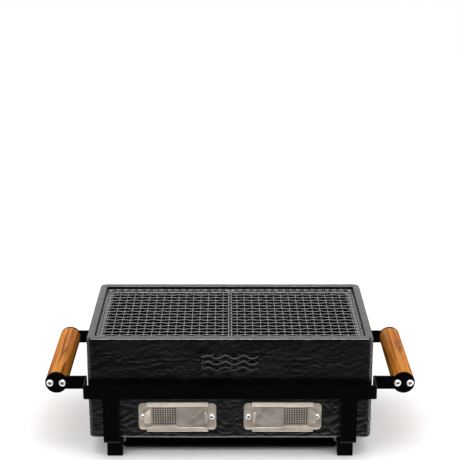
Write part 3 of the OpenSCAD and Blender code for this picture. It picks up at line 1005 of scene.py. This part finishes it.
def channel_profile(sign):
    """Closed cross-section (v, w) of the hooked guide channel on the sign side."""
    path = [(0.0005, 0.0212)]
    path += arc(0.0014, 0.0228, 0.0009, math.pi, -math.pi / 2, 5)
    path += arc(0.0029, 0.0237 - 0.0014, 0.0014, math.pi / 2, -(math.pi / 2 + CHANNEL_TILT), 8)
    v, w = path[-1]
    path.append((v - 0.0043 * math.sin(CHANNEL_TILT), w - 0.0043 * math.cos(CHANNEL_TILT)))
    left, right = [], []
    for i, (v, w) in enumerate(path):
        before, after = Vector(path[max(0, i - 1)]), Vector(path[min(len(path) - 1, i + 1)])
        along = (after - before).normalized()
        across = Vector((-along.y, along.x)) * (CHANNEL_SHEET / 2)
        left.append((v + across.x, w + across.y))
        right.append((v - across.x, w - across.y))
    nose = (Vector(path[-1]) - Vector(path[-2])).normalized() * (CHANNEL_SHEET * 0.35)
    tip = (path[-1][0] + nose.x, path[-1][1] + nose.y)
    return [(v, sign * w) for v, w in left + [tip] + right[::-1]]


def channel(bm, where, sign, seed):
    """One slightly uneven guide channel, above (1) or below (-1) the window."""
    profile = channel_profile(sign)
    centre_v = sum(v for v, _ in profile) / len(profile)
    centre_w = sum(w for _, w in profile) / len(profile)
    inner_end = CHANNEL_END - 0.0003
    stations = [-CHANNEL_END, *spaced(-inner_end, inner_end, 0.004), CHANNEL_END]
    rings = []
    for i, u in enumerate(stations):
        scale = 0.94 if i in (0, len(stations) - 1) else 1.0
        shift_v = 0.00012 * noise.noise(Vector((u * 28, seed, 0)))
        shift_w = 0.00016 * noise.noise(Vector((u * 22, seed + 5, 0)))
        ring = []
        for v, w in profile:
            free = min(1.0, max(0.0, (v - 0.001) / 0.002))     # 0 where it joins the plate
            ring.append(bm.verts.new(where @ Vector((
                u,
                centre_v + (v - centre_v) * scale + shift_v * free,
                centre_w + (w - centre_w) * scale + shift_w * free))))
        rings.append(ring)
    for a, b in zip(rings, rings[1:]):
        for quad in bridge(a, b):
            bm.faces.new(quad)
    bm.faces.new(rings[0][::-1])
    bm.faces.new(rings[-1])


def finish_vent_piece(name, bm, material, body, node, degrees=38, merge=2e-6):
    bmesh.ops.remove_doubles(bm, verts=bm.verts, dist=merge)
    ob = from_bm(name, bm)
    paint(ob, material)
    sharpen(ob, degrees)
    attach(ob, body, node)


def vent_plate(side, s, where):
    """Plate with a window, its two guide channels and the fixed pull tab."""
    outline = rounded(PLATE_HALF + [(-u, -w, radius) for u, w, radius in PLATE_HALF])
    holes = [rounded(WINDOW, 3)]
    holes += [circle(e * VENT_SCREW_X, 0, 0.0023, 28) for e in (-1, 1)]
    bm = bmesh.new()
    add_mesh(bm, sheet(outline, holes, 0.0012, 0.00028), where @ flat_matrix(0.0006))
    for sign in (-1, 1):
        channel(bm, where, sign, seed=3.1 * s + sign)
    add_mesh(bm, tab(0.0128, 0.0112, power=0.72),
             where @ tab_matrix(-0.0412, 0.0008, math.radians(56), -1))
    finish_vent_piece("vent_plate_" + side, bm, VENT_STEEL, "firebox", "vent_frame_" + side)


def vent_screen(side, where):
    """Screen with a grid of holes on its outer half."""
    hole_u = [-0.03795 + i * 0.0037 for i in range(10)]
    hole_w = [-0.01395 + j * 0.0032 for j in range(9)]
    us = sorted([-0.044, 0.0, 0.02, 0.044] + hole_u + [u + 0.0026 for u in hole_u])
    ws = sorted([-0.019, 0.019] + hole_w + [w + 0.0023 for w in hole_w])
    holes = {(us.index(u), ws.index(w)) for u in hole_u for w in hole_w}
    bm = bmesh.new()
    grids = [[[bm.verts.new(where @ Vector((u, v, w))) for w in ws] for u in us]
             for v in (0.0, -0.001)]

    def wall(path):
        """Faces through the thickness along a closed path of grid places."""
        front, back = [[grid[i][j] for i, j in path] for grid in grids]
        for quad in bridge(front, back):
            bm.faces.new(quad)

    last_i, last_j = len(us) - 1, len(ws) - 1
    for i in range(last_i):
        for j in range(last_j):
            cell = [(i, j), (i + 1, j), (i + 1, j + 1), (i, j + 1)]
            if (i, j) in holes:
                wall(cell)
            else:
                for grid in grids:
                    bm.faces.new([grid[a][b] for a, b in cell])
    wall([(i, 0) for i in range(last_i)] + [(last_i, j) for j in range(last_j)]
         + [(i, last_j) for i in range(last_i, 0, -1)] + [(0, j) for j in range(last_j, 0, -1)])
    finish_vent_piece("vent_perforated_screen_" + side, bm, SCREEN_STEEL, "firebox",
                      "vent_screen_" + side, degrees=30, merge=1e-7)


def vent_door(side, where):
    """Sliding door with its pull tab."""
    outline = rounded(DOOR_HALF + [(u, -w, radius) for u, w, radius in DOOR_HALF[::-1]], 4)
    bm = bmesh.new()
    add_mesh(bm, sheet(outline, [], SHEET, 0.00022), where @ flat_matrix(0.0024))
    add_mesh(bm, tab(0.0080, 0.0100, power=0.5),
             where @ tab_matrix(0.0405, 0.0026, math.radians(33), 1))
    node = "vent_door_" + side
    finish_vent_piece("vent_slide_door_" + side, bm, DOOR_STEEL, node, node)


for side, s in SIDES:
    vent_plate(side, s, vent_matrix(s))
    vent_screen(side, vent_matrix(s))
    vent_door(side, vent_matrix(s))


# ---------------------------------------------------------------- charcoal grates

HOLE_RADIUS = 0.00975
HOLE_PITCH_X, HOLE_PITCH_Y = 0.0335, 0.0325


def grate(side):
    """Plate with five staggered rows of round holes."""
    name = "grate_plate_" + side
    node = "charcoal_grate_" + side
    lo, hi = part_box(node)
    x, y = (lo.x + hi.x) / 2, (lo.y + hi.y) / 2
    outline = rounded_rectangle(x, y, (hi.x - lo.x) / 2, (hi.y - lo.y) / 2, 0.004)
    holes = []
    for row in range(-2, 3):
        count = 5 if row % 2 == 0 else 4
        for i in range(count):
            hole_x = x + (i - (count - 1) / 2) * HOLE_PITCH_X
            holes.append(circle(hole_x, y + row * HOLE_PITCH_Y, HOLE_RADIUS, 48))
    mesh = sheet(outline, holes, hi.z - lo.z, 0.0005, resolution=2)
    mesh.transform(Matrix.Translation((0, 0, (lo.z + hi.z) / 2)))
    mesh.name = name
    ob = link(name, mesh)
    clean(ob, merge=1e-6)
    paint(ob, GRATE_ENAMEL)
    sharpen(ob, 40)
    attach(ob, "grate_" + side, node)


for side, _ in SIDES:
    grate(side)


# ---------------------------------------------------------------- wire nets

WIRES = 16                   # in each direction
WIRE_PITCH = 0.012
WIRE_RADIUS = 0.00043
WEAVE = 0.00038              # how far a wire weaves up and down
COIL_RADIUS = 0.00042        # wire ends wound round the rim
COIL_PITCH = 0.00105
COIL_STEPS = 12              # per turn
WIRE_OFFSETS = [(k - (WIRES - 1) / 2) * WIRE_PITCH for k in range(WIRES)]


def tube(verts, faces, path, radius, sides, closed=False):
    """Append a round wire along path; radius is a number or a function of the point."""
    up = Vector((0, 0, 1))
    rings = []
    for i, point in enumerate(path):
        before = path[i - 1] if closed or i > 0 else point
        after = path[(i + 1) % len(path)] if closed or i < len(path) - 1 else point
        along = (after - before).normalized()
        across = along.cross(up).normalized()
        normal = across.cross(along).normalized()
        reach = radius(point) if callable(radius) else radius
        rings.append(list(range(len(verts), len(verts) + sides)))
        for k in range(sides):
            a = 2 * math.pi * k / sides
            verts.append(point + (across * math.cos(a) + normal * math.sin(a)) * reach)
    for a, b in zip(rings, rings[1:]):
        faces += bridge(a, b)
    if closed:
        faces += bridge(rings[-1], rings[0])
    else:
        faces.append(tuple(rings[0][::-1]))
        faces.append(tuple(rings[-1]))


def net_piece(name, side, verts, faces, material, node=None):
    ob = mesh_from(name + side, verts, faces)
    paint(ob, material)
    attach(ob, "net_" + side, node + side if node else None)


def net_rim(side, centre, radius, half_x, half_y):
    corners = [Vector((x, y, centre.z)) for x, y in
               rounded_rectangle(centre.x, centre.y, half_x, half_y, 0.009)]
    path = []
    for p, q in zip(corners, corners[1:] + corners[:1]):
        steps = max(1, int((q - p).length / 0.006))
        path += [p + (q - p) * (k / steps) for k in range(steps)]
    front = centre.y - half_y
    core = radius - 0.00082

    def rim_radius(point):
        """Thick and bare in front, thin under the windings elsewhere."""
        bare = smoothstep(front + 0.012, front + 0.002, point.y)
        return core + (radius * 0.92 - core) * bare

    verts, faces = [], []
    tube(verts, faces, path, rim_radius, 14, closed=True)
    net_piece("net_rim_wire_", side, verts, faces, RIM_WIRE, "net_rim_")


def net_wires(side, centre, half_x, half_y, kind):
    """Woven wires: the long ones run along Y, the cross ones along X."""
    long = kind == "long"
    half = (half_y if long else half_x) - 0.0006
    sign = 1 if long else -1
    steps = 66
    verts, faces = [], []
    for k, offset in enumerate(WIRE_OFFSETS):
        lean = random.uniform(-0.00025, 0.00025)
        path = []
        for i in range(steps + 1):
            t = -half + 2 * half * i / steps
            wave = sign * math.sin(math.pi * (t / WIRE_PITCH + k % 2))
            wave = max(-1, min(1, wave * 1.25))
            fade = min(1.0, (half - abs(t)) / 0.006)       # flat at the rim
            across = offset + lean * math.sin(math.pi * (t / half))
            x, y = (across, t) if long else (t, across)
            path.append(centre + Vector((x, y, WEAVE * wave * fade)))
        tube(verts, faces, path, WIRE_RADIUS, 7)
    net_piece("net_%s_mesh_" % kind, side, verts, faces, LONG_WIRE_PAINTED_SHADE if long else CROSS_WIRE,
              "net_%s_wires_" % kind)


def coil(verts, faces, middle, along, turns, flip, radius):
    """Turns of wire round the rim, which runs in the direction along."""
    sideways = Vector((-along.y, along.x, 0)) * flip
    path = []
    for i in range(int(turns * COIL_STEPS) + 1):
        turn = i / COIL_STEPS
        a = 2 * math.pi * turn
        around = sideways * math.cos(a) + Vector((0, 0, 1)) * math.sin(a)
        path.append(middle + along * (COIL_PITCH * (turn - turns / 2)) + around * radius)
    tube(verts, faces, path, COIL_RADIUS, 6)


def net_ends(side, centre, radius, half_x, half_y):
    """Wire ends wound round the rim at the back and both sides."""
    verts, faces = [], []
    for offset in WIRE_OFFSETS:
        turns = 5.5 + random.uniform(-0.5, 0.5)
        # place from the centre, direction of the rim, way round
        for place, along, flip in (((offset, half_y, 0), (1, 0, 0), 1),
                                   ((-half_x, offset, 0), (0, 1, 0), -1),
                                   ((half_x, offset, 0), (0, 1, 0), 1)):
            coil(verts, faces, centre + Vector(place), Vector(along), turns, flip,
                 radius - COIL_RADIUS)
    net_piece("net_wound_ends_", side, verts, faces, END_WIRE_PAINTED_SHADE)


def net(side):
    lo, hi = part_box("net_rim_" + side)
    centre = (lo + hi) / 2
    radius = (hi.z - lo.z) / 2
    half_x, half_y = (hi.x - lo.x) / 2 - radius, (hi.y - lo.y) / 2 - radius
    net_rim(side, centre, radius, half_x, half_y)
    for kind in ("long", "cross"):
        net_wires(side, centre, half_x, half_y, kind)
    net_ends(side, centre, radius, half_x, half_y)


for side, _ in SIDES:
    net(side)


# ---------------------------------------------------------------- floor

def build_floor():
    bm = bmesh.new()
    bmesh.ops.create_grid(bm, x_segments=1, y_segments=1, size=30)
    ob = from_bm("floor", bm)
    ob.location = (0, 0, -0.0004)
    material, g = new_material("pale_floor")
    g.surface({"Base Color": (0.9, 0.9, 0.9), "Roughness": 0.8, "Specular IOR Level": 0.0})
    paint(ob, material)
    ob.visible_glossy = False


build_floor()


# ---------------------------------------------------------------- world

def build_world():
    """Even light for everything but reflections, which see a studio with bright zones.
    Zones are picked by the direction looked in: its x, y and z run from -1 to 1."""
    world = bpy.data.worlds.new("studio")
    world.use_nodes = True
    g = Graph(world.node_tree)
    glossy = g.node("ShaderNodeLightPath").outputs["Is Glossy Ray"]
    direction = g.node("ShaderNodeTexCoord").outputs["Generated"]
    x, y, z = g.node("ShaderNodeSeparateXYZ", {0: direction}).outputs

    def sideways(start, end):
        return g.remap(g.math("ABSOLUTE", x), over=(start, end))

    def below(start, end):
        return g.remap(z, over=(start, end), to=(1.0, 0.0))

    def rightwards(left, right):
        return g.remap(x, over=(-0.4, 0.4), to=(left, right))

    back = g.times(g.remap(y, over=(-0.05, 0.40)), g.remap(z, over=(-0.02, 0.14)))
    top = g.remap(z, over=(0.35, 0.85))
    sides = g.times(sideways(0.55, 0.9), g.remap(z, over=(-0.1, 0.2)))
    under = below(-0.85, -0.42)
    # side cards, which the upright corners pick up
    cards = g.times(sideways(0.84, 0.93), g.remap(z, over=(-0.42, -0.28)))
    # the white table at both sides
    table = g.times(sideways(0.55, 0.85), below(-0.05, 0.05))
    straight_down = below(-0.97, -0.80)
    glow = 0.035
    for zone in (g.times(back, 1.25), g.times(top, 0.4), g.times(sides, 0.35),
                 g.times(under, 1.6), g.times(cards, rightwards(1.3, 3.2)),
                 g.times(table, rightwards(0.35, 0.75)), g.times(straight_down, 1.6)):
        glow = g.plus(glow, zone)
    strength = g.plus(g.times(glossy, glow), g.times(g.math("SUBTRACT", 1.0, glossy), 1.1))
    background = g.node("ShaderNodeBackground", {"Color": (1, 1, 1), "Strength": strength})
    g.node("ShaderNodeOutputWorld", {0: background.outputs[0]})
    scene.world = world
    world.cycles.sampling_method = "NONE"


build_world()


# ---------------------------------------------------------------- lights

def area_light(name, place, target, size, power, lit=None, diffuse=True, glossy=True):
    """Lamp aimed at target; lit limits it to pieces whose names start that way."""
    data = bpy.data.lights.new(name, "AREA")
    data.shape = "RECTANGLE"
    data.size, data.size_y = size
    data.energy = power
    ob = link(name, data)
    ob.location = place
    ob.rotation_mode = "QUATERNION"
    ob.rotation_quaternion = (Vector(target) - Vector(place)).to_track_quat("-Z", "Y")
    ob.visible_camera = False
    if lit:
        receivers = bpy.data.collections.new(name + "_on")
        for piece in list(scene.objects):
            if piece.type == "MESH" and piece.name.startswith(lit):
                receivers.objects.link(piece)
        ob.light_linking.receiver_collection = receivers
    ob.visible_diffuse = diffuse
    ob.visible_glossy = glossy


METAL = ("vent_plate", "vent_perforated", "vent_slide", "grip_screws")
METAL_AND_GLAZE = METAL + ("firebox_glazed",)

area_light("top_softbox", (0.0, -0.1, 2.0), (0, 0, 0.2), size=(1.6, 0.9), power=10)
area_light("front_left_softbox", (-1.5, -1.5, 1.35), (0, 0, 0.15), size=(0.7, 0.9), power=7,
           glossy=False)
area_light("front_right_softbox", (1.6, -1.3, 1.2), (0, 0, 0.15), size=(0.6, 0.9), power=7,
           glossy=False)
area_light("rim_panel", (0.0, -1.0, 1.75), (0, -0.1, 0.15), size=(1.9, 1.0), power=95,
           lit=METAL_AND_GLAZE, diffuse=False)
area_light("metal_card", (0.1, -2.3, 0.72), (0, 0, 0.2), size=(1.3, 0.3), power=4,
           lit=METAL, diffuse=False)
area_light("low_left_softbox", (-1.0, -1.9, 0.16), (0, 0, 0.12), size=(0.5, 0.25), power=2.4,
           lit=METAL_AND_GLAZE, diffuse=False)
area_light("low_right_softbox", (1.1, -1.8, 0.14), (0, 0, 0.12), size=(0.5, 0.25), power=2.6,
           lit=METAL_AND_GLAZE, diffuse=False)


# ---------------------------------------------------------------- camera and output

CAMERA_PITCH = math.radians(18.0)    # looking down from level

camera_data = bpy.data.cameras.new("camera")
camera = link("camera", camera_data)
scene.camera = camera
camera.location = (0.0, -1.8, 0.9125)
camera.rotation_euler = (math.pi / 2 - CAMERA_PITCH, 0, 0)
camera_data.sensor_width = 36.0
camera_data.lens = 95.947826
camera_data.clip_start = 0.05
camera_data.clip_end = 50

scene.view_settings.view_transform = "Standard"
scene.view_settings.look = "None"
scene.view_settings.exposure = 0.0
